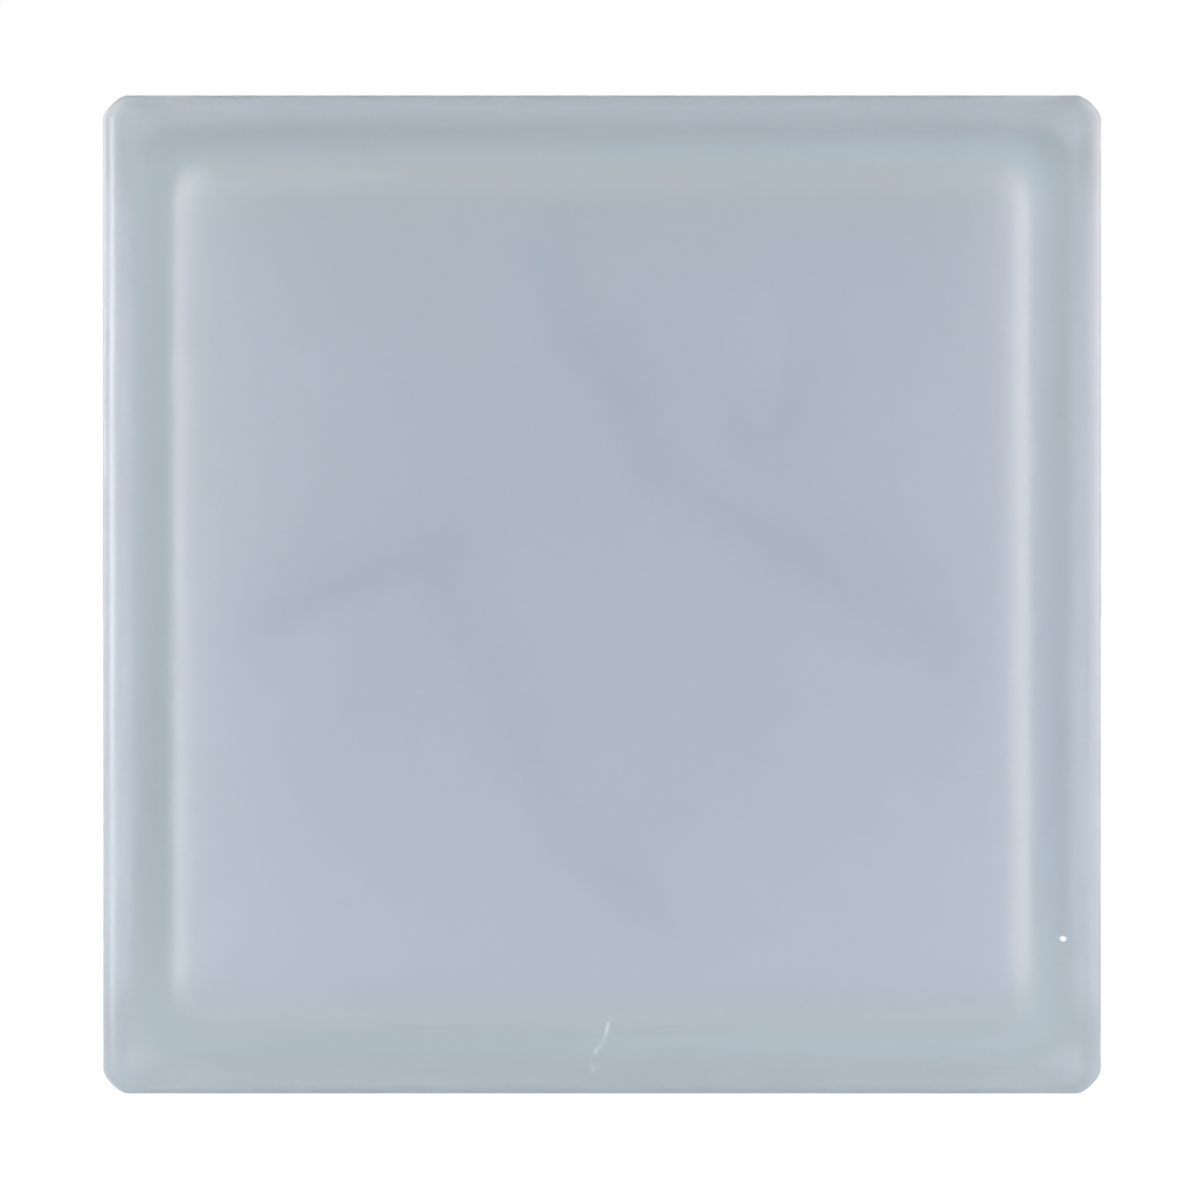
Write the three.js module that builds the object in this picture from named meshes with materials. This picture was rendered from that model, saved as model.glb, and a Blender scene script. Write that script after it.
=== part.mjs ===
// A square block of satin glass: two pressed half shells, fused rim to rim on the middle plane.
// Millimetres, +Z up. The block stands on its bottom edge, its front face looks along -Y, and the
// origin is at the middle of its bottom. Both halves come from one mould and are turned face to face.

import * as THREE from "three";

// ---- Driving dimensions ------------------------------------------------------------------------

// Overall sizes of the block.
const FACE_WIDTH = 190;
const FACE_HEIGHT = 190;
const BLOCK_DEPTH = 80;

// The glass: the flat pane, and the side wall behind the floor of the mortar groove.
const PANE_THICKNESS = 8;
const WALL_AT_PANE = 8;
const WALL_AT_SEAM = 6;

// The rim round each face. Its corners are short arcs that meet the sides at a slight kink.
const RIM_LENGTH = 9;
const RIM_EDGE_RADIUS = 2.8;
const RIM_BACK_RADIUS = 2;
const RIM_CORNER_RUN = 4.4;
const RIM_CORNER_RADIUS = 7.2;

// The mortar groove between the rims, and the bead that the fused seam leaves along its floor.
const GROOVE_DEPTH = 5.5;
const GROOVE_SLOPE_LENGTH = 6.5;
const GROOVE_FILLET_RADIUS = 5;
const GROOVE_CORNER_RADIUS = 8;
const BEAD_HEIGHT = 1;
const BEAD_HALF_WIDTH = 3;
const BEAD_SLOPE_LENGTH = 1.8;
const BEAD_RADIUS = 1.5;

// The hollow inside, with a wide fillet where the side wall turns into the pane.
const CAVITY_CORNER_RADIUS = 7;
const CAVITY_FILLET_RADIUS = 9;

// The wave relief pressed into the inside of each pane: one slow swell, crossed by soft folds.
const FOLD_HEIGHT = 1.1;
const FOLD_WIDTH = 8;
const SWELL_HEIGHT = 0.4;
const SWELL_LENGTH = 64;
const SWELL_DIRECTION = THREE.MathUtils.degToRad(58);
const RELIEF_FADE_WIDTH = 14;

// The crest line of each fold, as shares of the flat pane's half width and half height.
const FOLDS = {
  leftShoulder: [[-0.98, -0.14], [-0.71, 0.0], [-0.38, 0.13]],
  longSweep: [[-0.48, 0.12], [-0.26, -0.28], [-0.06, -0.65], [0.26, -0.95]],
  rightShoulder: [[0.23, 0.25], [0.6, 0.03], [1.0, -0.22]],
  topFall: [[-0.17, 1.0], [-0.1, 0.7], [0.06, 0.5], [0.14, 0.3]],
  hook: [[0.32, 0.5], [0.43, 0.34], [0.52, 0.62]],
};

// How finely the round forms are cut into flat facets. The corner segments are an even number.
const SECTION_ARC_SEGMENTS = 5;
const CORNER_SEGMENTS = 6;
const CAVITY_SIDE_SEGMENTS = 22;
const FOLD_SEGMENTS = 16;

const SATIN_GLASS = { color: 0xaeb8c6, roughness: 0.45, metalness: 0 };

// ---- Places that follow from them --------------------------------------------------------------

const QUARTER_TURN = Math.PI / 2;
const HALF_DEPTH = BLOCK_DEPTH / 2;
const RIM_BACK = HALF_DEPTH - RIM_LENGTH;
const PANE_INSIDE = HALF_DEPTH - PANE_THICKNESS;
const RIM_CORNER_CENTRE = (RIM_CORNER_RUN + Math.sqrt(2 * RIM_CORNER_RADIUS ** 2 - RIM_CORNER_RUN ** 2)) / 2;
const CAVITY_INSET_AT_SEAM = GROOVE_DEPTH + WALL_AT_SEAM;
const CAVITY_INSET_AT_PANE = GROOVE_DEPTH + WALL_AT_PANE;

// ---- Sections and rings ------------------------------------------------------------------------

/** The points of a section with straight legs. A corner [x, y, radius] is rounded by a tangent arc. */
function filletedSection(corners) {
  const places = corners.map(([x, y]) => new THREE.Vector2(x, y));
  return corners.flatMap(([, , radius], index) => {
    const corner = places[index];
    if (radius === undefined) return [corner];
    const before = places[index - 1].clone().sub(corner).normalize();
    const after = places[index + 1].clone().sub(corner).normalize();
    const halfAngle = Math.acos(before.dot(after)) / 2;
    const centre = before.clone().add(after).setLength(radius / Math.sin(halfAngle)).add(corner);
    const start = before.clone().multiplyScalar(radius / Math.tan(halfAngle)).add(corner);
    const sweep = Math.sign(after.cross(before)) * (Math.PI - 2 * halfAngle);
    return Array.from({ length: SECTION_ARC_SEGMENTS + 1 }, (_, step) =>
      start.clone().rotateAround(centre, (sweep * step) / SECTION_ARC_SEGMENTS),
    );
  });
}

/**
 * One closed ring round the block, at a height z above the middle plane and drawn in from the rim's
 * outline by an inset. It runs counter-clockwise from the middle of the +X -Y corner. Each corner is
 * an arc round a centre that lies cornerCentre inside both sides, tangent where that is its radius.
 */
function ringPoints({ inset, z, cornerCentre, cornerRadius, sideSegments }) {
  const centreX = FACE_WIDTH / 2 - inset - cornerCentre;
  const centreY = FACE_HEIGHT / 2 - inset - cornerCentre;
  const centres = [[centreX, -centreY], [centreX, centreY], [-centreX, centreY], [-centreX, -centreY]];
  const kinkAngle = Math.acos(cornerCentre / cornerRadius);
  const sweep = QUARTER_TURN - 2 * kinkAngle;
  const arcs = centres.map(([x, y], corner) =>
    Array.from({ length: CORNER_SEGMENTS + 1 }, (_, step) => {
      const angle = (corner - 1) * QUARTER_TURN + kinkAngle + (sweep * step) / CORNER_SEGMENTS;
      return new THREE.Vector3(x + cornerRadius * Math.cos(angle), y + cornerRadius * Math.sin(angle), z);
    }),
  );
  const middle = CORNER_SEGMENTS / 2;
  return arcs.flatMap((arc, side) => {
    const nextArc = arcs[(side + 1) % arcs.length];
    const straight = Array.from({ length: sideSegments - 1 }, (_, step) =>
      arc.at(-1).clone().lerp(nextArc[0], (step + 1) / sideSegments),
    );
    return [...arc.slice(middle), ...straight, ...nextArc.slice(0, middle)];
  });
}

/** The outside of a half, from the edge of its face over the rim and down the groove to the seam. */
function outsideRings() {
  const beadInset = GROOVE_DEPTH - BEAD_HEIGHT;
  const section = filletedSection([
    [CAVITY_INSET_AT_PANE, HALF_DEPTH],
    [0, HALF_DEPTH, RIM_EDGE_RADIUS],
    [0, RIM_BACK, RIM_BACK_RADIUS],
    [GROOVE_DEPTH, RIM_BACK - GROOVE_SLOPE_LENGTH, GROOVE_FILLET_RADIUS],
    [GROOVE_DEPTH, BEAD_HALF_WIDTH, BEAD_RADIUS],
    [beadInset, BEAD_HALF_WIDTH - BEAD_SLOPE_LENGTH, BEAD_RADIUS],
    [beadInset, 0],
  ]);
  const faceEdgeAndRest = section.slice(1);
  return faceEdgeAndRest.map(({ x: inset, y: z }) => {
    const onRimEdge = z > HALF_DEPTH - RIM_EDGE_RADIUS;
    const grooveShare = Math.min(inset / GROOVE_DEPTH, 1);
    const cornerCentre = onRimEdge
      ? RIM_CORNER_CENTRE - inset
      : THREE.MathUtils.lerp(RIM_CORNER_CENTRE, GROOVE_CORNER_RADIUS, grooveShare);
    const cornerRadius = onRimEdge
      ? RIM_CORNER_RADIUS - inset
      : THREE.MathUtils.lerp(RIM_CORNER_RADIUS, GROOVE_CORNER_RADIUS, grooveShare);
    return ringPoints({ inset, z, cornerCentre, cornerRadius, sideSegments: 1 });
  });
}

/** The inside of a half, from the seam up the side wall and round the fillet to the flat pane. */
function cavityRings() {
  const section = filletedSection([
    [CAVITY_INSET_AT_SEAM, 0],
    [CAVITY_INSET_AT_PANE, PANE_INSIDE, CAVITY_FILLET_RADIUS],
    [FACE_WIDTH / 2, PANE_INSIDE],
  ]);
  const wallAndFillet = section.slice(0, -1);
  return wallAndFillet.map(({ x: inset, y: z }) =>
    ringPoints({
      inset,
      z,
      cornerCentre: CAVITY_CORNER_RADIUS,
      cornerRadius: CAVITY_CORNER_RADIUS,
      sideSegments: CAVITY_SIDE_SEGMENTS,
    }),
  );
}

// ---- The wave relief ---------------------------------------------------------------------------

/** How far the relief stands proud of the flat pane, as a function of a place on that pane. */
function waveRelief(paneHalfWidth, paneHalfHeight) {
  const creases = Object.values(FOLDS).flatMap((shares) => {
    const places = shares.map(([x, y]) => new THREE.Vector3(x * paneHalfWidth, y * paneHalfHeight, 0));
    const crest = new THREE.CatmullRomCurve3(places).getPoints(FOLD_SEGMENTS);
    return crest.slice(1).map((end, index) => new THREE.Line3(crest[index], end));
  });
  return (x, y) => {
    const place = new THREE.Vector3(x, y, 0);
    const nearest = new THREE.Vector3();
    const distances = creases.map((crease) =>
      crease.closestPointToPoint(place, true, nearest).distanceTo(place),
    );
    const fold = FOLD_HEIGHT * Math.exp(-((Math.min(...distances) / FOLD_WIDTH) ** 2));
    const along = x * Math.cos(SWELL_DIRECTION) + y * Math.sin(SWELL_DIRECTION);
    const swell = SWELL_HEIGHT * Math.sin((2 * Math.PI * along) / SWELL_LENGTH);
    const toEdge = Math.min(paneHalfWidth - Math.abs(x), paneHalfHeight - Math.abs(y));
    return (fold + swell) * THREE.MathUtils.smoothstep(toEdge, 0, RELIEF_FADE_WIDTH);
  };
}

// ---- The closed surface of one half ------------------------------------------------------------

/** A surface of shared vertices whose triangles face outwards. */
class Surface {
  points = [];
  triangles = [];

  /** Adds points and returns their vertex numbers. */
  add(points) {
    const first = this.points.length;
    this.points.push(...points);
    return points.map((_, index) => first + index);
  }

  /** Adds a run of rings, each joined to the one before it, and returns their vertex numbers. */
  addBands(rings) {
    const numbered = rings.map((ring) => this.add(ring));
    numbered.slice(1).forEach((next, index) => {
      const ring = numbered[index];
      ring.forEach((corner, place) => {
        const after = (place + 1) % ring.length;
        this.triangles.push([corner, next[place], next[after]], [corner, next[after], ring[after]]);
      });
    });
    return numbered;
  }

  /** Fills a level ring, less the hole in it where there is one, facing +Z or, turned over, -Z. */
  addLevelFace(ring, holes, turnedOver) {
    const vertices = [...ring, ...holes.flat()];
    const outline = (numbers) => numbers.map((number) => this.points[number]);
    const faces = THREE.ShapeUtils.triangulateShape(outline(ring), holes.map(outline));
    faces.forEach((face) => {
      const triangle = face.map((place) => vertices[place]);
      this.triangles.push(turnedOver ? triangle.reverse() : triangle);
    });
  }

  /**
   * Fills a ring with a square grid that faces -Z. Its inner vertices are spread between the four
   * sides as on a Coons patch, and then lowered by the height of the relief there.
   */
  addReliefGrid(ring, relief) {
    const cells = ring.length / 4;
    const right = (row) => ring[row];
    const top = (column) => ring[2 * cells - column];
    const left = (row) => ring[3 * cells - row];
    const bottom = (column) => ring[(3 * cells + column) % ring.length];
    const between = (from, to, share) => this.points[from].clone().lerp(this.points[to], share);
    const innerVertex = (column, row) => {
      const across = between(left(row), right(row), column / cells);
      const upwards = between(bottom(column), top(column), row / cells);
      const lowerSide = between(bottom(0), bottom(cells), column / cells);
      const upperSide = between(top(0), top(cells), column / cells);
      const point = across.add(upwards).sub(lowerSide.lerp(upperSide, row / cells));
      point.z -= relief(point.x, point.y);
      return this.add([point])[0];
    };
    const vertexAt = (column, row) => {
      if (column === 0) return left(row);
      if (column === cells) return right(row);
      if (row === 0) return bottom(column);
      if (row === cells) return top(column);
      return innerVertex(column, row);
    };
    const rows = Array.from({ length: cells + 1 }, (_, row) =>
      Array.from({ length: cells + 1 }, (__, column) => vertexAt(column, row)),
    );
    for (let row = 0; row < cells; row += 1) {
      for (let column = 0; column < cells; column += 1) {
        const [a, b] = [rows[row][column], rows[row][column + 1]];
        const [d, c] = [rows[row + 1][column], rows[row + 1][column + 1]];
        this.triangles.push([a, d, c], [a, c, b]);
      }
    }
  }

  /** The surface as a geometry with normals. */
  geometry() {
    const geometry = new THREE.BufferGeometry().setFromPoints(this.points);
    geometry.setIndex(this.triangles.flat());
    geometry.computeVertexNormals();
    return geometry;
  }
}

/** One pressed half in its mould's frame: its face at the top, its open side on the plane z = 0. */
function halfShell(name) {
  const surface = new Surface();
  const outside = surface.addBands(outsideRings());
  const cavity = surface.addBands(cavityRings());
  const paneCorner = surface.points[cavity.at(-1)[CORNER_SEGMENTS / 2]];
  const paneTop = surface.points[cavity.at(-1)[cavity.at(-1).length / 4 + CORNER_SEGMENTS / 2]];
  surface.addLevelFace(outside[0], [], false);
  surface.addLevelFace(outside.at(-1), [cavity[0]], true);
  surface.addReliefGrid(cavity.at(-1), waveRelief(paneCorner.x, paneTop.y));
  const half = new THREE.Mesh(surface.geometry(), new THREE.MeshStandardMaterial(SATIN_GLASS));
  half.name = name;
  return half;
}

// ---- The block ---------------------------------------------------------------------------------

const frontHalf = halfShell("front_half");
frontHalf.rotation.x = QUARTER_TURN;

const backHalf = halfShell("back_half");
backHalf.rotation.set(QUARTER_TURN, Math.PI, 0);

const glassBlock = new THREE.Group();
glassBlock.position.z = FACE_HEIGHT / 2;
glassBlock.add(frontHalf, backHalf);

export default glassBlock;
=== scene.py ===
"""A square block of satin glass, standing on its bottom edge in a plain, softly lit studio.

The block is one closed body of glass. Its outer skin has a rim round each face and a mortar groove
between the two rims. The skin of the sealed hollow carries the wave relief that is pressed into the
inside of both panes. Everything is in metres in the row frame: +Z up, the front face towards -Y.
"""

import logging
import math
from collections.abc import Iterable
from dataclasses import dataclass, field
from enum import Enum
from typing import Union

import bmesh
import bpy
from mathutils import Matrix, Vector
from mathutils.geometry import interpolate_bezier, intersect_point_line


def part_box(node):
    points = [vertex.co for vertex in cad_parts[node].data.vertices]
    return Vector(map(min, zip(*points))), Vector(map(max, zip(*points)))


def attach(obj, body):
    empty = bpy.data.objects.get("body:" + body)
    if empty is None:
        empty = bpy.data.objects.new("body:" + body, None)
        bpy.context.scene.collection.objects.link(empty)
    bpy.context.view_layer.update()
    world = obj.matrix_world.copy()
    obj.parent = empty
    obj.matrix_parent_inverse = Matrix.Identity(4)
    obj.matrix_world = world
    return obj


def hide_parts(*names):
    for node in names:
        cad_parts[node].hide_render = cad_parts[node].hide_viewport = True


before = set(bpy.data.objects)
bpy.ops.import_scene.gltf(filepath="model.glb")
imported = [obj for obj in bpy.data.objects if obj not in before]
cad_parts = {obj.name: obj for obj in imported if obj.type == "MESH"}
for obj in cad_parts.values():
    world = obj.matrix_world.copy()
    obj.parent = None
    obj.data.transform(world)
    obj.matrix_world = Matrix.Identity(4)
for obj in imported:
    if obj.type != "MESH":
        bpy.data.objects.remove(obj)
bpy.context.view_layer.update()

MM = 0.001
QUARTER_TURN = math.pi / 2
CREASE = "crease"
WELD_DISTANCE = 1e-6
LOG = logging.getLogger("glass_block")


class Body(Enum):
    """The bodies of the frame that pieces ride on."""

    ROOT = "root"


class Node(Enum):
    """The CAD nodes that the block stands for."""

    FRONT_HALF = "front_half"
    BACK_HALF = "back_half"


class Slot(Enum):
    """The material slots of the record."""

    SATIN_GLASS = "satin_glass"


# ---- Sizes --------------------------------------------------------------------------------------


@dataclass(frozen=True)
class Corner:
    """The rounding of a ring's corners: an arc that starts `run` before the corner.

    An arc whose run equals its radius is tangent to the sides; a shorter run leaves a slight kink.
    """

    run: float
    radius: float

    @property
    def bevel_profile(self) -> float:
        """The profile of a vertex bevel of this run that passes through the middle of the arc.

        Returns:
            The bevel's profile value, 0.5 for a quarter circle.
        """
        half_chord = self.run / math.sqrt(2)
        sagitta = self.radius - math.sqrt(self.radius**2 - half_chord**2)
        return (0.5 + sagitta / (math.sqrt(2) * self.run)) ** 2


@dataclass(frozen=True)
class BlockSizes:
    """The sizes of the block. The three overall ones come from the frame's own nodes."""

    width: float
    height: float
    depth: float

    rim_length: float = 9 * MM
    rim_edge_radius: float = 2.8 * MM
    rim_back_radius: float = 2 * MM
    rim_corner: Corner = Corner(4.4 * MM, 7.2 * MM)

    groove_depth: float = 5.5 * MM
    groove_slope_length: float = 6.5 * MM
    groove_fillet_radius: float = 5 * MM
    groove_corner: Corner = Corner(8 * MM, 8 * MM)

    bead_height: float = 1 * MM
    bead_half_width: float = 3 * MM
    bead_slope_length: float = 1.8 * MM
    bead_radius: float = 1.5 * MM

    pane_thickness: float = 8 * MM
    wall_at_pane: float = 8 * MM
    wall_at_seam: float = 6 * MM
    cavity_corner: Corner = Corner(7 * MM, 7 * MM)
    cavity_fillet_radius: float = 9 * MM

    @property
    def half_width(self) -> float:
        """Half the width of a face."""
        return self.width / 2

    @property
    def half_height(self) -> float:
        """Half the height of a face."""
        return self.height / 2

    @property
    def half_depth(self) -> float:
        """The distance from the seam to a face."""
        return self.depth / 2

    @property
    def pane_inside(self) -> float:
        """The distance from the seam to the inside of a pane."""
        return self.half_depth - self.pane_thickness

    @classmethod
    def of_nodes(cls, nodes: Iterable[Node]) -> "BlockSizes":
        """Reads the overall sizes from the box round the CAD nodes.

        Args:
            nodes: The nodes that make up the block.

        Returns:
            The block's sizes.
        """
        boxes = [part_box(node.value) for node in nodes]
        lowest = [min(low[axis] for low, _ in boxes) for axis in range(3)]
        highest = [max(high[axis] for _, high in boxes) for axis in range(3)]
        width, depth, height = (high - low for low, high in zip(lowest, highest))
        return cls(width=width, height=height, depth=depth)


@dataclass(frozen=True)
class Fineness:
    """How finely the round forms are divided."""

    corner: int = 10
    side_cuts: int = 85
    face_cuts: int = 25
    rim_edge: int = 6
    rim_back: int = 4
    groove_fillet: int = 6
    bead: int = 3
    cavity_fillet: int = 14
    wall: int = 4

    @property
    def cells(self) -> int:
        """The edges along one quarter of a ring with cut sides, and so along the pane's grid."""
        return self.corner + self.side_cuts + 1


# ---- Mesh work in edit mode -----------------------------------------------------------------------


@dataclass(frozen=True)
class Ring:
    """A set of vertices that were made together, such as one closed ring."""

    number: int


class MouldedMesh:
    """A mesh that is made in a mould's frame: its face up, the seam on the level z = 0.

    It stays in edit mode until `finish` is called.
    """

    RING_LAYER = "ring"
    LONG_EDGE = 50 * MM

    def __init__(self, name: str) -> None:
        """Starts an empty mesh object and enters edit mode.

        Args:
            name: The name of the object.
        """
        bpy.ops.object.select_all(action="DESELECT")
        bpy.ops.mesh.primitive_plane_add(size=1.0, location=(0, 0, 0))
        self.object: bpy.types.Object = bpy.context.object
        self.object.name = name
        self.object.data.name = name
        bpy.ops.object.mode_set(mode="EDIT")
        bpy.ops.mesh.select_mode(type="VERT")
        bpy.ops.mesh.select_all(action="SELECT")
        bpy.ops.mesh.delete(type="VERT")
        layers = bmesh.from_edit_mesh(self.object.data).verts.layers
        layers.int.new(self.RING_LAYER)
        layers.float.new(CREASE)
        self._rings = 0

    def _edited(self) -> tuple[bmesh.types.BMesh, bmesh.types.BMLayerItem]:
        """The mesh as it stands in edit mode, with the layer of ring numbers."""
        edited = bmesh.from_edit_mesh(self.object.data)
        return edited, edited.verts.layers.int[self.RING_LAYER]

    def _flush(self, edited: bmesh.types.BMesh) -> None:
        """Carries a selection of vertices over to the edges and faces between them."""
        edited.select_flush_mode()
        bmesh.update_edit_mesh(self.object.data, loop_triangles=False, destructive=False)

    def _name_selection(self) -> Ring:
        """Makes the selected vertices a ring of their own."""
        self._rings += 1
        edited, layer = self._edited()
        for vertex in edited.verts:
            if vertex.select:
                vertex[layer] = self._rings
        return Ring(self._rings)

    def select(self, *rings: Ring) -> None:
        """Selects the vertices of rings and nothing else.

        Args:
            rings: The rings.
        """
        bpy.ops.mesh.select_all(action="DESELECT")
        edited, layer = self._edited()
        numbers = {ring.number for ring in rings}
        for vertex in edited.verts:
            vertex.select = vertex[layer] in numbers
        self._flush(edited)

    def add_ring(
        self,
        half_width: float,
        half_height: float,
        level: float,
        corner: Corner,
        corner_segments: int,
        side_cuts: int = 0,
    ) -> Ring:
        """Adds a level ring: a plane whose corners are bevelled and whose sides may be cut.

        Args:
            half_width: Half its width along X.
            half_height: Half its height along Y.
            level: Its height above the seam.
            corner: The rounding of its corners.
            corner_segments: The edges round each corner.
            side_cuts: The vertices to add on each straight side.

        Returns:
            The ring.
        """
        bpy.ops.mesh.select_all(action="DESELECT")
        bpy.ops.mesh.primitive_plane_add(size=2.0, location=(0, 0, level))
        bpy.ops.transform.resize(value=(half_width, half_height, 1), center_override=(0, 0, level))
        bpy.ops.mesh.bevel(
            affect="VERTICES",
            offset_type="OFFSET",
            offset=corner.run,
            segments=corner_segments,
            profile=corner.bevel_profile,
        )
        ring = self._name_selection()
        bpy.ops.mesh.delete(type="ONLY_FACE")
        return self._cut_straight_sides(ring, side_cuts) if side_cuts else ring

    def _cut_straight_sides(self, ring: Ring, cuts: int) -> Ring:
        """Subdivides the four long edges of a ring, and gives the ring with the new vertices."""
        bpy.ops.mesh.select_all(action="DESELECT")
        bpy.ops.mesh.select_mode(type="EDGE")
        edited, layer = self._edited()
        for edge in edited.edges:
            on_ring = all(vertex[layer] == ring.number for vertex in edge.verts)
            edge.select = on_ring and edge.calc_length() > self.LONG_EDGE
        self._flush(edited)
        bpy.ops.mesh.subdivide(number_cuts=cuts)
        bpy.ops.mesh.select_mode(type="VERT")
        side = self._name_selection()
        self.select(ring, side)
        return self._name_selection()

    def extrude_ring(self, ring: Ring, rise: float, widen: tuple[float, float] = (1, 1)) -> Ring:
        """Extrudes a ring straight up or down, and widens the new one about the middle axis.

        Args:
            ring: The ring to extrude.
            rise: How far the new ring lies above it.
            widen: The factors along X and Y.

        Returns:
            The new ring.
        """
        self.select(ring)
        bpy.ops.mesh.extrude_edges_move(TRANSFORM_OT_translate={"value": (0, 0, rise)})
        bpy.ops.transform.resize(value=(*widen, 1), center_override=(0, 0, 0))
        return self._name_selection()

    def bridge(self, ring: Ring, other: Ring) -> None:
        """Joins two rings of as many vertices with a band of faces.

        Args:
            ring: One ring.
            other: The other ring.
        """
        self.select(ring, other)
        bpy.ops.mesh.bridge_edge_loops()

    def round_edge(self, ring: Ring, radius: float, segments: int) -> Ring:
        """Turns a ring's upright wall over to the level by a run of insets.

        Args:
            ring: The ring, where the rounding starts.
            radius: The radius of the edge.
            segments: The number of insets.

        Returns:
            The open ring where the rounding ends.
        """
        self.select(ring)
        bpy.ops.mesh.edge_face_add()
        edited, _ = self._edited()
        if any(face.select and face.normal.z < 0 for face in edited.faces):
            bpy.ops.mesh.flip_normals()
        angles = [QUARTER_TURN * step / segments for step in range(segments + 1)]
        for start, end in zip(angles, angles[1:]):
            bpy.ops.mesh.inset(
                thickness=radius * (math.cos(start) - math.cos(end)),
                depth=radius * (math.sin(end) - math.sin(start)),
                use_even_offset=True,
            )
        rounded = self._name_selection()
        bpy.ops.mesh.delete(type="ONLY_FACE")
        return rounded

    def fill_level(self, ring: Ring, level: float, span: float, share: float, cuts: int) -> None:
        """Closes a ring with a level face: a narrow band, and a grid within.

        Args:
            ring: The ring.
            level: Its height above the seam.
            span: Half the ring's width.
            share: The size of the narrow band's inner edge, against the ring.
            cuts: The vertices to add on each straight side of that edge.
        """
        band = self._cut_straight_sides(self.extrude_ring(ring, 0.0, (share, share)), cuts)
        self.select(band)
        edited, _ = self._edited()
        cells = sum(vertex.select for vertex in edited.verts) // 4
        half = span * share * share
        grid = self.add_grid(half, half, level, cells)
        self.bridge(band, self.edge_of(grid))

    def bevel_ring(self, ring: Ring, radius: float, turn: float, segments: int) -> None:
        """Rounds the crease that runs along a ring.

        Args:
            ring: The ring on the crease.
            radius: The radius of the rounding.
            turn: The angle by which the section turns there.
            segments: The bands across the rounding.
        """
        self.select(ring)
        bpy.ops.mesh.bevel(
            affect="EDGES",
            offset_type="OFFSET",
            offset=radius * math.tan(turn / 2),
            segments=segments,
            profile=0.5,
            clamp_overlap=False,
        )

    def add_grid(self, half_width: float, half_height: float, level: float, cells: int) -> Ring:
        """Adds a level grid of faces.

        Args:
            half_width: Half its width along X.
            half_height: Half its height along Y.
            level: Its height above the seam.
            cells: The cells along each side.

        Returns:
            Its vertices.
        """
        bpy.ops.mesh.select_all(action="DESELECT")
        bpy.ops.mesh.primitive_grid_add(
            x_subdivisions=cells, y_subdivisions=cells, size=2.0, location=(0, 0, level)
        )
        bpy.ops.transform.resize(value=(half_width, half_height, 1), center_override=(0, 0, level))
        return self._name_selection()

    def edge_of(self, grid: Ring) -> Ring:
        """Makes the vertices along the edge of a grid a ring of their own.

        Args:
            grid: The grid.

        Returns:
            The ring along its edge.
        """
        self.select(grid)
        bpy.ops.mesh.region_to_loop()
        bpy.ops.mesh.select_mode(type="VERT")
        return self._name_selection()

    def press(self, rings: Iterable[Ring], relief: "WaveRelief") -> None:
        """Presses a relief into level vertices, and notes how near each lies to a crest.

        Args:
            rings: The vertices.
            relief: The relief.
        """
        edited, layer = self._edited()
        crease = edited.verts.layers.float[CREASE]
        lines = relief.crest_lines()
        numbers = {ring.number for ring in rings}
        for vertex in edited.verts:
            if vertex[layer] in numbers:
                height, nearness = relief.at(vertex.co.x, vertex.co.y, lines)
                vertex.co.z -= height
                # the nearness to a crest drives the painted shade along the folds in the finish
                vertex[crease] = nearness
        bmesh.update_edit_mesh(self.object.data)

    def add_turned_copy(self) -> None:
        """Adds the same mesh turned half round about the Y axis, and welds the two at the seam."""
        bpy.ops.mesh.select_all(action="SELECT")
        bpy.ops.mesh.duplicate()
        bpy.ops.transform.rotate(value=math.pi, orient_axis="Y", center_override=(0, 0, 0))
        bpy.ops.mesh.select_all(action="SELECT")
        bpy.ops.mesh.remove_doubles(threshold=WELD_DISTANCE)

    def finish(self, facing_inwards: bool) -> bpy.types.Object:
        """Sets which way the faces point and leaves edit mode.

        Args:
            facing_inwards: Whether they face the hollow inside.

        Returns:
            The object.
        """
        bpy.ops.mesh.select_all(action="SELECT")
        bpy.ops.mesh.normals_make_consistent(inside=False)
        if facing_inwards:
            bpy.ops.mesh.flip_normals()
        bpy.ops.object.mode_set(mode="OBJECT")
        self.object.data.attributes.remove(self.object.data.attributes[self.RING_LAYER])
        return self.object


# ---- The glass block ------------------------------------------------------------------------------


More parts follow.
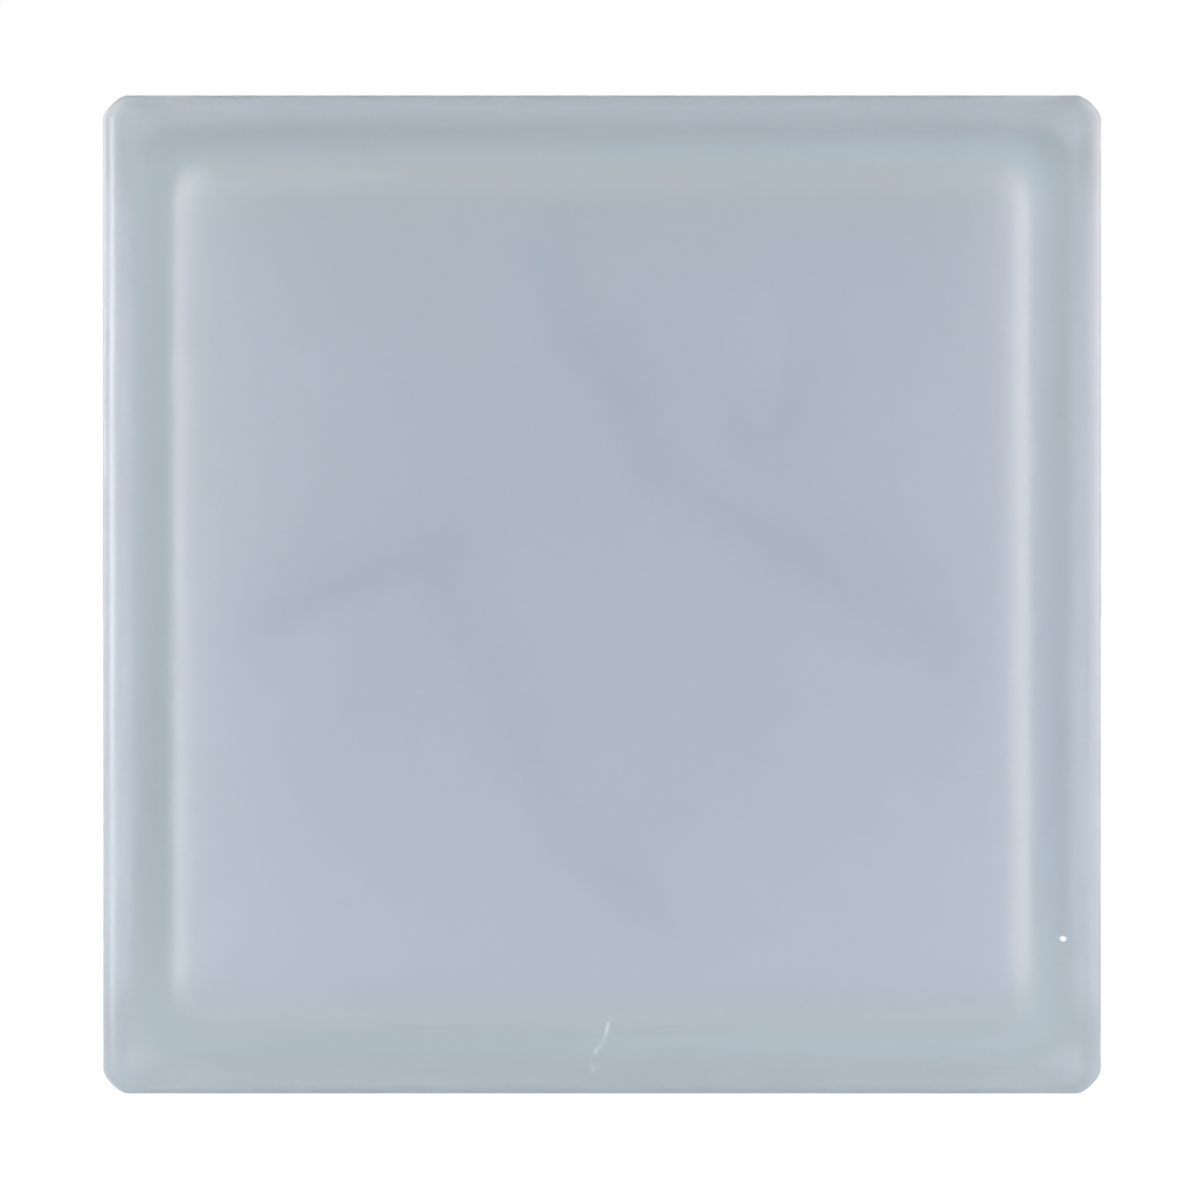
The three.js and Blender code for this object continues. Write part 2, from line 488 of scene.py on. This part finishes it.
@dataclass
class OuterSkin:
    """The outside of the block: faces, rims, mortar groove and the bead of the fused seam."""

    sizes: BlockSizes
    fineness: Fineness
    level_share: float = 0.985

    def build(self) -> bpy.types.Object:
        """Makes the outside of one half and mirrors it at the seam.

        Returns:
            The skin in the mould's frame.
        """
        sizes, fine = self.sizes, self.fineness
        mesh = MouldedMesh("outer_skin")
        rim_back_level = sizes.half_depth - sizes.rim_length
        groove_level = rim_back_level - sizes.groove_slope_length

        rim_back = mesh.add_ring(
            sizes.half_width, sizes.half_height, rim_back_level, sizes.rim_corner, fine.corner
        )
        rim_edge = mesh.extrude_ring(rim_back, sizes.rim_length - sizes.rim_edge_radius)
        face_edge = mesh.round_edge(rim_edge, sizes.rim_edge_radius, fine.rim_edge)
        face_half_width = sizes.half_width - sizes.rim_edge_radius
        mesh.fill_level(
            face_edge, sizes.half_depth, face_half_width, self.level_share, fine.face_cuts
        )

        groove_half_width = sizes.half_width - sizes.groove_depth
        groove_half_height = sizes.half_height - sizes.groove_depth
        groove_top = mesh.add_ring(
            groove_half_width, groove_half_height, groove_level, sizes.groove_corner, fine.corner
        )
        mesh.bridge(rim_back, groove_top)
        bead_foot = mesh.extrude_ring(groove_top, sizes.bead_half_width - groove_level)
        widen = (1 + sizes.bead_height / groove_half_width, 1 + sizes.bead_height / groove_half_height)
        bead_top = mesh.extrude_ring(bead_foot, -sizes.bead_slope_length, widen)
        mesh.extrude_ring(bead_top, sizes.bead_slope_length - sizes.bead_half_width)

        bead_turn = math.atan2(sizes.bead_height, sizes.bead_slope_length)
        groove_turn = math.atan2(sizes.groove_depth, sizes.groove_slope_length)
        mesh.bevel_ring(bead_top, sizes.bead_radius, bead_turn, fine.bead)
        mesh.bevel_ring(bead_foot, sizes.bead_radius, bead_turn, fine.bead)
        mesh.bevel_ring(groove_top, sizes.groove_fillet_radius, groove_turn, fine.groove_fillet)
        mesh.bevel_ring(rim_back, sizes.rim_back_radius, groove_turn, fine.rim_back)
        skin = mesh.finish(facing_inwards=False)

        mirror = skin.modifiers.new("other_half", "MIRROR")
        mirror.use_axis = (False, False, True)
        mirror.merge_threshold = WELD_DISTANCE
        bpy.ops.object.modifier_apply(modifier=mirror.name)
        return skin


@dataclass(frozen=True)
class WaveRelief:
    """The relief on the inside of a pane: one slow swell, crossed by soft folds.

    The crest line of each fold is given as shares of the flat pane's half width and half height.
    """

    half_width: float
    half_height: float
    fold_height: float = 1.1 * MM
    fold_width: float = 8 * MM
    crease_width: float = 3.5 * MM
    swell_height: float = 0.4 * MM
    swell_length: float = 64 * MM
    swell_direction: float = math.radians(58)
    fade_width: float = 14 * MM
    crest_segments: int = 16
    crests: tuple[tuple[tuple[float, float], ...], ...] = (
        ((-0.98, -0.14), (-0.71, 0.0), (-0.38, 0.13)),
        ((-0.48, 0.12), (-0.26, -0.28), (-0.06, -0.65), (0.26, -0.95)),
        ((0.23, 0.25), (0.6, 0.03), (1.0, -0.22)),
        ((-0.17, 1.0), (-0.1, 0.7), (0.06, 0.5), (0.14, 0.3)),
        ((0.32, 0.5), (0.43, 0.34), (0.52, 0.62)),
    )

    def crest_lines(self) -> list[tuple[Vector, Vector]]:
        """Draws a smooth curve through the points of each crest.

        Returns:
            The short straight lines that the curves are made of.
        """
        lines: list[tuple[Vector, Vector]] = []
        for shares in self.crests:
            points = [Vector((x * self.half_width, y * self.half_height, 0)) for x, y in shares]
            run = [2 * points[0] - points[1], *points, 2 * points[-1] - points[-2]]
            for before, start, end, after in zip(run, run[1:], run[2:], run[3:]):
                leaving, arriving = self._handles(before, start, end, after)
                curve = interpolate_bezier(start, leaving, arriving, end, self.crest_segments)
                lines.extend(zip(curve, curve[1:]))
        return lines

    @staticmethod
    def _handles(before: Vector, start: Vector, end: Vector, after: Vector) -> tuple[Vector, Vector]:
        """The Bezier handles of one span of a centripetal Catmull-Rom curve."""
        gaps = [math.sqrt((b - a).length) for a, b in ((before, start), (start, end), (end, after))]
        first, middle, last = gaps
        leaving = (start - before) / first - (end - before) / (first + middle) + (end - start) / middle
        arriving = (end - start) / middle - (after - start) / (middle + last) + (after - end) / last
        return start + leaving * (middle / 3), end - arriving * (middle / 3)

    def at(
        self, x: float, y: float, lines: list[tuple[Vector, Vector]]
    ) -> tuple[float, float]:
        """Works the relief out at a place.

        Args:
            x: The place across.
            y: The place upwards.
            lines: The crest lines.

        Returns:
            The height over the flat pane, and how near the place lies to a crest, from 0 to 1.
        """
        place = Vector((x, y, 0))
        distance = min(self._distance(place, line) for line in lines)
        fold = self.fold_height * math.exp(-((distance / self.fold_width) ** 2))
        along = x * math.cos(self.swell_direction) + y * math.sin(self.swell_direction)
        swell = self.swell_height * math.sin(2 * math.pi * along / self.swell_length)
        to_edge = min(self.half_width - abs(x), self.half_height - abs(y))
        share = min(max(to_edge / self.fade_width, 0.0), 1.0)
        fade = share * share * (3 - 2 * share)
        return (fold + swell) * fade, math.exp(-((distance / self.crease_width) ** 2)) * fade

    @staticmethod
    def _distance(place: Vector, line: tuple[Vector, Vector]) -> float:
        """The distance from a place to a straight line between two points."""
        nearest, share = intersect_point_line(place, *line)
        if share < 0:
            nearest = line[0]
        elif share > 1:
            nearest = line[1]
        return (nearest - place).length


@dataclass
class CavitySkin:
    """The skin of the sealed hollow: drafted side walls, wide fillets and the relief panes."""

    sizes: BlockSizes
    fineness: Fineness
    pane_margin: float = 3 * MM

    def section(self) -> list[tuple[float, float]]:
        """The section of one half, from the seam to the edge of the flat pane.

        Returns:
            Pairs of an inset from the block's outline and a height above the seam.
        """
        sizes, fine = self.sizes, self.fineness
        radius = sizes.cavity_fillet_radius
        at_seam = sizes.groove_depth + sizes.wall_at_seam
        at_pane = sizes.groove_depth + sizes.wall_at_pane
        draft = math.atan2(at_pane - at_seam, sizes.pane_inside)
        flat_from = at_pane + radius * math.tan((QUARTER_TURN - draft) / 2)
        angles = [
            draft + (QUARTER_TURN - draft) * step / fine.cavity_fillet
            for step in range(fine.cavity_fillet + 1)
        ]
        fillet = [
            (flat_from - radius * math.cos(angle), sizes.pane_inside - radius + radius * math.sin(angle))
            for angle in angles
        ]
        inset_end, level_end = fillet[0]
        wall = [
            (at_seam + (inset_end - at_seam) * step / fine.wall, level_end * step / fine.wall)
            for step in range(fine.wall)
        ]
        return wall + fillet

    def build(self) -> bpy.types.Object:
        """Makes the hollow of one half, and its turned copy for the other.

        Returns:
            The skin in the mould's frame, facing into the hollow.
        """
        sizes, fine = self.sizes, self.fineness
        mesh = MouldedMesh("cavity_skin")
        section = self.section()
        rings = [
            mesh.add_ring(
                sizes.half_width - inset,
                sizes.half_height - inset,
                level,
                sizes.cavity_corner,
                fine.corner,
                fine.side_cuts,
            )
            for inset, level in section
        ]
        for ring, next_ring in zip(rings, rings[1:]):
            mesh.bridge(ring, next_ring)

        flat_from = section[-1][0]
        pane_half_width = sizes.half_width - flat_from
        pane_half_height = sizes.half_height - flat_from
        grid_half_width = pane_half_width - self.pane_margin
        grid_half_height = pane_half_height - self.pane_margin
        grid = mesh.add_grid(grid_half_width, grid_half_height, sizes.pane_inside, fine.cells)
        grid_edge = mesh.edge_of(grid)
        mesh.bridge(rings[-1], grid_edge)
        mesh.press((grid, grid_edge), WaveRelief(pane_half_width, pane_half_height))
        mesh.add_turned_copy()
        return mesh.finish(facing_inwards=True)


@dataclass
class GlassBlock:
    """The whole block as one closed body of glass."""

    sizes: BlockSizes
    fineness: Fineness = field(default_factory=Fineness)
    name: str = "glass_block"
    smooth_angle: float = math.radians(30)

    def build(self) -> bpy.types.Object:
        """Makes both skins, joins them and stands the block up in its place.

        Returns:
            The finished piece, riding on the frame.
        """
        outer = OuterSkin(self.sizes, self.fineness).build()
        cavity = CavitySkin(self.sizes, self.fineness).build()
        bpy.ops.object.select_all(action="DESELECT")
        cavity.select_set(True)
        outer.select_set(True)
        bpy.context.view_layer.objects.active = outer
        bpy.ops.object.join()
        block = bpy.context.object
        block.name = self.name
        block.data.name = self.name
        block.rotation_euler = (QUARTER_TURN, 0, 0)
        block.location = (0, 0, self.sizes.half_height)
        bpy.ops.object.transform_apply(location=True, rotation=True, scale=True)
        bpy.ops.object.shade_smooth_by_angle(angle=self.smooth_angle)
        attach(block, Body.ROOT.value)
        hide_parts(*(node.value for node in Node))
        LOG.info("%s: %d faces", block.name, len(block.data.polygons))
        return block


# ---- Shader maths ---------------------------------------------------------------------------------


class Maths(Enum):
    """The operations of a Math node that the finishes use."""

    ADD = "ADD"
    SUBTRACT = "SUBTRACT"
    MULTIPLY = "MULTIPLY"
    MAXIMUM = "MAXIMUM"
    ABSOLUTE = "ABSOLUTE"
    EXPONENT = "EXPONENT"
    LESS_THAN = "LESS_THAN"
    GREATER_THAN = "GREATER_THAN"


Number = Union["Value", float, int]


class Value:
    """A number in a shader that ordinary arithmetic works on."""

    def __init__(self, graph: "Graph", socket: bpy.types.NodeSocket) -> None:
        """Wraps an output socket of a graph's node."""
        self.graph = graph
        self.socket = socket

    def __add__(self, other: Number) -> "Value":
        """The sum."""
        return self.graph.maths(Maths.ADD, self, other)

    def __radd__(self, other: Number) -> "Value":
        """The sum, with a number on the left."""
        return self.graph.maths(Maths.ADD, other, self)

    def __sub__(self, other: Number) -> "Value":
        """The difference."""
        return self.graph.maths(Maths.SUBTRACT, self, other)

    def __rsub__(self, other: Number) -> "Value":
        """The difference, with a number on the left."""
        return self.graph.maths(Maths.SUBTRACT, other, self)

    def __mul__(self, other: Number) -> "Value":
        """The product."""
        return self.graph.maths(Maths.MULTIPLY, self, other)

    def __rmul__(self, other: Number) -> "Value":
        """The product, with a number on the left."""
        return self.graph.maths(Maths.MULTIPLY, other, self)

    def __abs__(self) -> "Value":
        """The size without its sign."""
        return self.graph.maths(Maths.ABSOLUTE, self)

    def __lt__(self, other: Number) -> "Value":
        """One where it is less, and zero elsewhere."""
        return self.graph.maths(Maths.LESS_THAN, self, other)

    def __gt__(self, other: Number) -> "Value":
        """One where it is greater, and zero elsewhere."""
        return self.graph.maths(Maths.GREATER_THAN, self, other)

    def exponential(self) -> "Value":
        """The exponential of it."""
        return self.graph.maths(Maths.EXPONENT, self)

    def at_least(self, other: Number) -> "Value":
        """The larger of it and another."""
        return self.graph.maths(Maths.MAXIMUM, self, other)

    def eased(self, start: float, end: float) -> "Value":
        """A soft step.

        Args:
            start: Where it gives zero.
            end: Where it gives one.

        Returns:
            A value from zero to one.
        """
        low, high, results = (start, end, (0.0, 1.0)) if start < end else (end, start, (1.0, 0.0))
        return self.graph.node(
            "ShaderNodeMapRange",
            {"interpolation_type": "SMOOTHSTEP"},
            {
                "Value": self,
                "From Min": low,
                "From Max": high,
                "To Min": results[0],
                "To Max": results[1],
            },
        )["Result"]


class Outputs:
    """The outputs of one node, by their names."""

    def __init__(self, graph: "Graph", node: bpy.types.Node) -> None:
        """Wraps a node of a graph."""
        self.graph = graph
        self.node = node

    def __getitem__(self, name: str) -> Value:
        """The output of that name."""
        return Value(self.graph, self.node.outputs[name])


class Graph:
    """The node tree of one material or world."""

    def __init__(self, tree: bpy.types.NodeTree) -> None:
        """Empties the tree."""
        self.tree = tree
        tree.nodes.clear()

    def node(
        self,
        kind: str,
        settings: dict[str, object] | None = None,
        inputs: dict[str | int, object] | None = None,
    ) -> Outputs:
        """Adds a node.

        Args:
            kind: The node's type.
            settings: Its settings, which are set first.
            inputs: The values or links of its sockets, by name or place.

        Returns:
            The node's outputs.
        """
        node = self.tree.nodes.new(kind)
        for name, setting in (settings or {}).items():
            setattr(node, name, setting)
        for name, given in (inputs or {}).items():
            if isinstance(given, Value):
                self.tree.links.new(given.socket, node.inputs[name])
            else:
                node.inputs[name].default_value = given
        return Outputs(self, node)

    def maths(self, operation: Maths, *operands: Number) -> Value:
        """Adds a Math node.

        Args:
            operation: What it does.
            operands: Its operands, in order.

        Returns:
            The result.
        """
        node = self.node("ShaderNodeMath", {"operation": operation.value}, dict(enumerate(operands)))
        return node["Value"]

    def blend(self, factor: Number, first: object, second: object) -> Value:
        """Mixes two colours.

        Args:
            factor: The share of the second.
            first: The first colour.
            second: The second colour.

        Returns:
            The mixed colour.
        """
        node = self.node("ShaderNodeMix", {"data_type": "RGBA"})
        for place, given in ((0, factor), (6, first), (7, second)):
            if isinstance(given, Value):
                self.tree.links.new(given.socket, node.node.inputs[place])
            else:
                node.node.inputs[place].default_value = given
        return Value(self, node.node.outputs[2])

    def scaled(self, vector: object, factor: Value) -> Value:
        """Scales a vector or a colour.

        Args:
            vector: The vector: a value or three numbers.
            factor: How much of it there is.

        Returns:
            The scaled vector.
        """
        return self.node(
            "ShaderNodeVectorMath", {"operation": "SCALE"}, {0: vector, "Scale": factor}
        )["Vector"]


# ---- The finish -----------------------------------------------------------------------------------

Colour = tuple[float, float, float, float]


@dataclass(frozen=True)
class Mark:
    """A small oval mark on the front face, in metres.

    The slant is the turn of its length from the horizontal, anticlockwise as seen from the front.
    """

    across: float
    up: float
    length: float
    breadth: float
    strength: float
    slant: float = 0.0
    broken_up: bool = False

    REACH_INTO_GLASS = 1 * MM
    SOFT_EDGE_FROM = 0.8

    def mask(self, place: Value, face: float) -> Value:
        """Where the mark lies.

        Args:
            place: The place on the block.
            face: The place of the front face along Y.

        Returns:
            The mark's strength there, and zero elsewhere.
        """
        graph = place.graph
        from_middle = graph.node(
            "ShaderNodeMapping",
            {"vector_type": "TEXTURE"},
            {
                "Vector": place,
                "Location": (self.across, face, self.up),
                "Rotation": (0.0, -self.slant, 0.0),
                "Scale": (self.length / 2, self.REACH_INTO_GLASS, self.breadth / 2),
            },
        )["Vector"]
        distance = graph.node(
            "ShaderNodeVectorMath", {"operation": "LENGTH"}, {0: from_middle}
        )["Value"]
        return distance.eased(1.0, self.SOFT_EDGE_FROM) * self.strength


@dataclass(frozen=True)
class SatinGlassFinish:
    """Etched glass: rough all over, clear in its depth, and tinted where light runs far in it.

    The rim is glossy, except for its outermost `bare_edge`. Along the fold crests the base colour
    carries painted shade, darker and bluer.
    """

    tint: Colour = (0.865, 0.9, 0.972, 1.0)
    # painted shade: the darker, bluer base colour along the fold crests
    fold_painted_shade: Colour = (0.72, 0.79, 0.91, 1.0)
    refractive_index: float = 1.52
    transmission: float = 0.85
    outer_roughness: float = 0.4
    inner_roughness: float = 0.6
    rim_gloss: float = 1.0
    rim_gloss_roughness: float = 0.35
    rim_width: float = 4 * MM
    rim_full_width: float = 2 * MM
    margin_to_side: float = 3 * MM
    margin_to_pane: float = 2.5 * MM
    bare_edge: float = 1.2 * MM
    depth_tint: Colour = (0.59, 0.79, 0.775, 1.0)
    depth_density: float = 8.0
    etch_scale: float = 1400.0
    etch_detail: float = 2.0
    etch_height: float = 0.004 * MM
    chalk: Colour = (0.9, 0.95, 1.0, 1.0)
    chalk_roughness: float = 0.8
    crumbs_between: tuple[float, float] = (0.42, 0.58)
    marks: tuple[Mark, ...] = (
        Mark(0.75 * MM, 11.9 * MM, 4.6 * MM, 0.8 * MM, 0.34, math.radians(75), True),
        Mark(-0.7 * MM, 8.5 * MM, 2.9 * MM, 1.5 * MM, 0.28, math.radians(48), True),
        Mark(-1.8 * MM, 5.0 * MM, 1.5 * MM, 1.3 * MM, 0.22, 0.0, True),
        Mark(87.65 * MM, 29.55 * MM, 1.2 * MM, 1.2 * MM, 1.0),
    )

    def material(self, sizes: BlockSizes) -> bpy.types.Material:
        """Makes the material.

        Args:
            sizes: The block's sizes.

        Returns:
            The material.
        """
        material = bpy.data.materials.new("satin_glass")
        material.use_nodes = True
        graph = Graph(material.node_tree)
        place = graph.node("ShaderNodeTexCoord")["Object"]
        axes = graph.node("ShaderNodeSeparateXYZ", inputs={"Vector": place})
        across, through, up = axes["X"], axes["Y"], axes["Z"]

        crease = graph.node("ShaderNodeAttribute", {"attribute_name": CREASE})["Fac"]
        etch = graph.node(
            "ShaderNodeTexNoise",
            {},
            {"Vector": place, "Scale": self.etch_scale, "Detail": self.etch_detail},
        )["Fac"]
        bump = graph.node(
            "ShaderNodeBump", {}, {"Height": etch, "Distance": self.etch_height, "Strength": 1.0}
        )["Normal"]
        from_middle = abs(across).at_least(abs(up - sizes.half_height))
        on_rim = from_middle.eased(
            sizes.half_width - self.rim_width, sizes.half_width - self.rim_full_width
        ) * (abs(through) > sizes.half_depth - sizes.rim_length)
        inside_edge = from_middle.eased(
            sizes.half_width - self.bare_edge / 2, sizes.half_width - self.bare_edge
        )
        in_hollow = (from_middle < sizes.half_width - sizes.groove_depth - self.margin_to_side) * (
            abs(through) < sizes.pane_inside + self.margin_to_pane
        )
        glass = graph.node(
            "ShaderNodeBsdfPrincipled",
            {},
            {
                # the crest nearness blends in painted shade along the folds
                "Base Color": graph.blend(crease, self.tint, self.fold_painted_shade),
                "Roughness": (
                    self.outer_roughness
                    + in_hollow * (self.inner_roughness - self.outer_roughness)
                ),
                "IOR": self.refractive_index,
                "Transmission Weight": self.transmission,
                "Coat Weight": on_rim * inside_edge * self.rim_gloss,
                "Coat Roughness": self.rim_gloss_roughness,
                "Normal": bump,
            },
        )["BSDF"]
        chalky = graph.node(
            "ShaderNodeBsdfPrincipled",
            {},
            {"Base Color": self.chalk, "Roughness": self.chalk_roughness},
        )["BSDF"]
        surface = graph.node(
            "ShaderNodeMixShader",
            {},
            {0: self._marks(sizes, place, etch), 1: glass, 2: chalky},
        )["Shader"]
        depth = graph.node(
            "ShaderNodeVolumeAbsorption",
            {},
            {"Color": self.depth_tint, "Density": self.depth_density},
        )["Volume"]
        graph.node("ShaderNodeOutputMaterial", {}, {"Surface": surface, "Volume": depth})
        return material

    def _marks(self, sizes: BlockSizes, place: Value, etch: Value) -> Number:
        """Where the front face is scuffed or chipped.

        Args:
            sizes: The block's sizes.
            place: The place on the block.
            etch: The grain that breaks a scuff up.

        Returns:
            How much of the glass the marks cover.
        """
        crumbs = etch.eased(*self.crumbs_between)
        total: Number = 0.0
        for mark in self.marks:
            mask = mark.mask(place, -sizes.half_depth)
            total = total + (mask * crumbs if mark.broken_up else mask)
        return total


# ---- The studio -----------------------------------------------------------------------------------


@dataclass(frozen=True)
class Glow:
    """A soft patch of the studio's walls or ceiling that lights the block.

    Azimuth 0 is on the camera's side, 90 on the right, and elevation is above the horizon.
    """

    azimuth: float
    elevation: float
    strength: float
    sharpness: float
    colour: tuple[float, float, float]

    @property
    def direction(self) -> Vector:
        """The direction towards its middle."""
        azimuth, elevation = math.radians(self.azimuth), math.radians(self.elevation)
        return Vector(
            (
                math.sin(azimuth) * math.cos(elevation),
                -math.cos(azimuth) * math.cos(elevation),
                math.sin(elevation),
            )
        )

    def patch(self, direction: Value) -> Value:
        """Its light along a direction of the world.

        Args:
            direction: The direction, of length one.

        Returns:
            The light's colour, which fades away from its middle.
        """
        facing = direction.graph.node(
            "ShaderNodeVectorMath",
            {"operation": "DOT_PRODUCT"},
            {0: direction, 1: self.direction * self.sharpness},
        )["Value"]
        return direction.graph.scaled(
            [self.strength * channel for channel in self.colour],
            (facing - self.sharpness).exponential(),
        )


@dataclass
class Studio:
    """A polished pale floor under a soft sky that is brightest at the sides, and the camera.

    The camera sees the sky and the floor white, with the block's shadow on the floor. The block
    is lit by the glows, the strongest from the front left, and by their fainter reflection in
    the floor. Only glass and gloss see the backdrop.
    """

    sizes: BlockSizes
    even_light: Colour = (0.27, 0.29, 0.22, 1.0)
    glows: tuple[Glow, ...] = (
        Glow(315, 12, 7.5, 20, (1.0, 0.99, 0.96)),
        Glow(240, 12, 5.3, 20, (1.0, 0.93, 0.94)),
        Glow(270, 50, 2.8, 20, (1.0, 0.99, 0.96)),
        Glow(90, 50, 2.8, 20, (1.0, 0.99, 0.96)),
        Glow(105, 0, 5.3, 10, (1.0, 0.88, 0.9)),
        Glow(45, 12, 2.75, 20, (1.0, 0.93, 0.92)),
    )
    backdrop: Glow = Glow(165, 0, 1.0, 20, (0.74, 0.79, 1.05))
    floor_radius: float = 40.0
    floor_sides: int = 96
    floor_drop: float = 0.1 * MM
    floor_colour: Colour = (0.8, 0.8, 0.8, 1.0)
    floor_glow_to_camera: float = 0.6
    floor_share: float = 0.5
    floor_lift: float = 30 * MM
    floor_in_front: Colour = (0.83, 0.85, 0.87, 1.0)
    floor_behind: Colour = (0.63, 0.65, 0.67, 1.0)
    near_reach: tuple[float, float] = (0.12, 0.5)
    camera_distance: float = 2.0
    camera_reach: float = 100.0
    sensor_width: float = 36.0
    frame_width: float = 228.13 * MM
    camera_shift: tuple[float, float] = (-0.0017, -0.0046)

    def build(self) -> None:
        """Makes the floor, the light and the camera."""
        self._add_floor()
        self._add_sky()
        self._add_camera()

    def _glow_from(self, direction: Value, rays: Outputs) -> Value:
        """The light that the glows send to the block along a direction.

        Args:
            direction: The direction, of length one.
            rays: What kind of ray looks there.

        Returns:
            Its colour.
        """
        graph = direction.graph
        seen = rays["Is Glossy Ray"].at_least(rays["Is Transmission Ray"])
        light = graph.scaled(self.backdrop.patch(direction), seen)
        for glow in self.glows:
            light = graph.node(
                "ShaderNodeVectorMath", {"operation": "ADD"}, {0: light, 1: glow.patch(direction)}
            )["Vector"]
        return light

    def _add_floor(self) -> None:
        """Adds the floor."""
        bpy.ops.object.select_all(action="DESELECT")
        bpy.ops.mesh.primitive_circle_add(
            vertices=self.floor_sides,
            radius=self.floor_radius,
            fill_type="NGON",
            location=(0, 0, -self.floor_drop),
        )
        floor = bpy.context.object
        floor.name = "studio_floor"
        material = bpy.data.materials.new("studio_floor")
        material.use_nodes = True
        material.cycles.emission_sampling = "NONE"
        graph = Graph(material.node_tree)
        rays = graph.node("ShaderNodeLightPath")
        place = graph.node("ShaderNodeTexCoord")["Object"]
        lifted = graph.node(
            "ShaderNodeVectorMath", {"operation": "ADD"}, {0: place, 1: (0, 0, self.floor_lift)}
        )["Vector"]
        mirrored = graph.node(
            "ShaderNodeVectorMath", {"operation": "NORMALIZE"}, {0: lifted}
        )["Vector"]
        sheen = graph.node(
            "ShaderNodeEmission",
            {},
            {"Color": self._glow_from(mirrored, rays), "Strength": self.floor_share},
        )["Emission"]
        depth = graph.node("ShaderNodeSeparateXYZ", {}, {"Vector": place})["Y"]
        in_front = depth.eased(self.sizes.half_width, -self.sizes.half_width)
        bounce = graph.node(
            "ShaderNodeEmission",
            {},
            {"Color": graph.blend(in_front, self.floor_behind, self.floor_in_front)},
        )["Emission"]
        distance = graph.node("ShaderNodeVectorMath", {"operation": "LENGTH"}, {0: place})["Value"]
        polish = graph.node(
            "ShaderNodeMixShader", {}, {0: distance.eased(*self.near_reach), 1: bounce, 2: sheen}
        )["Shader"]
        painted = graph.node("ShaderNodeBsdfDiffuse", {}, {"Color": self.floor_colour})["BSDF"]
        lift = graph.node("ShaderNodeEmission", {}, {"Strength": self.floor_glow_to_camera})["Emission"]
        white = graph.node("ShaderNodeAddShader", {}, {0: painted, 1: lift})["Shader"]
        surface = graph.node(
            "ShaderNodeMixShader", {}, {0: rays["Is Camera Ray"], 1: polish, 2: white}
        )["Shader"]
        graph.node("ShaderNodeOutputMaterial", {}, {"Surface": surface})
        floor.data.materials.append(material)

    def _add_sky(self) -> None:
        """Sets the world: white to the camera, and the glows to everything else."""
        world = bpy.data.worlds.new("studio")
        bpy.context.scene.world = world
        world.use_nodes = True
        world.cycles.sampling_method = "NONE"
        graph = Graph(world.node_tree)
        rays = graph.node("ShaderNodeLightPath")
        light = self._glow_from(graph.node("ShaderNodeTexCoord")["Generated"], rays)
        glowing = graph.node("ShaderNodeBackground", {}, {"Color": light})["Background"]
        even = graph.node("ShaderNodeBackground", {}, {"Color": self.even_light})["Background"]
        lit = graph.node("ShaderNodeAddShader", {}, {0: even, 1: glowing})["Shader"]
        white = graph.node("ShaderNodeBackground", {}, {"Color": (1, 1, 1, 1)})["Background"]
        sky = graph.node(
            "ShaderNodeMixShader", {}, {0: rays["Is Camera Ray"], 1: lit, 2: white}
        )["Shader"]
        graph.node("ShaderNodeOutputWorld", {}, {"Surface": sky})

    def _add_camera(self) -> None:
        """Adds the camera, level with the middle of the block and square to its front face."""
        distance = self.camera_distance + self.sizes.half_depth
        bpy.ops.object.camera_add(
            location=(0, -distance, self.sizes.half_height), rotation=(QUARTER_TURN, 0, 0)
        )
        camera = bpy.context.object
        camera.data.sensor_width = self.sensor_width
        camera.data.lens = self.sensor_width * self.camera_distance / self.frame_width
        camera.data.shift_x, camera.data.shift_y = self.camera_shift
        camera.data.clip_end = self.camera_reach
        bpy.context.scene.camera = camera
        bpy.context.scene.view_settings.view_transform = "Standard"


def main() -> None:
    """Builds the block, its finish and the studio."""
    logging.basicConfig(level=logging.INFO, format="%(name)s: %(message)s")
    sizes = BlockSizes.of_nodes(Node)
    block = GlassBlock(sizes).build()
    block.data.materials.clear()
    block.data.materials.append(SatinGlassFinish().material(sizes))
    Studio(sizes).build()


if __name__ == "__main__":
    main()
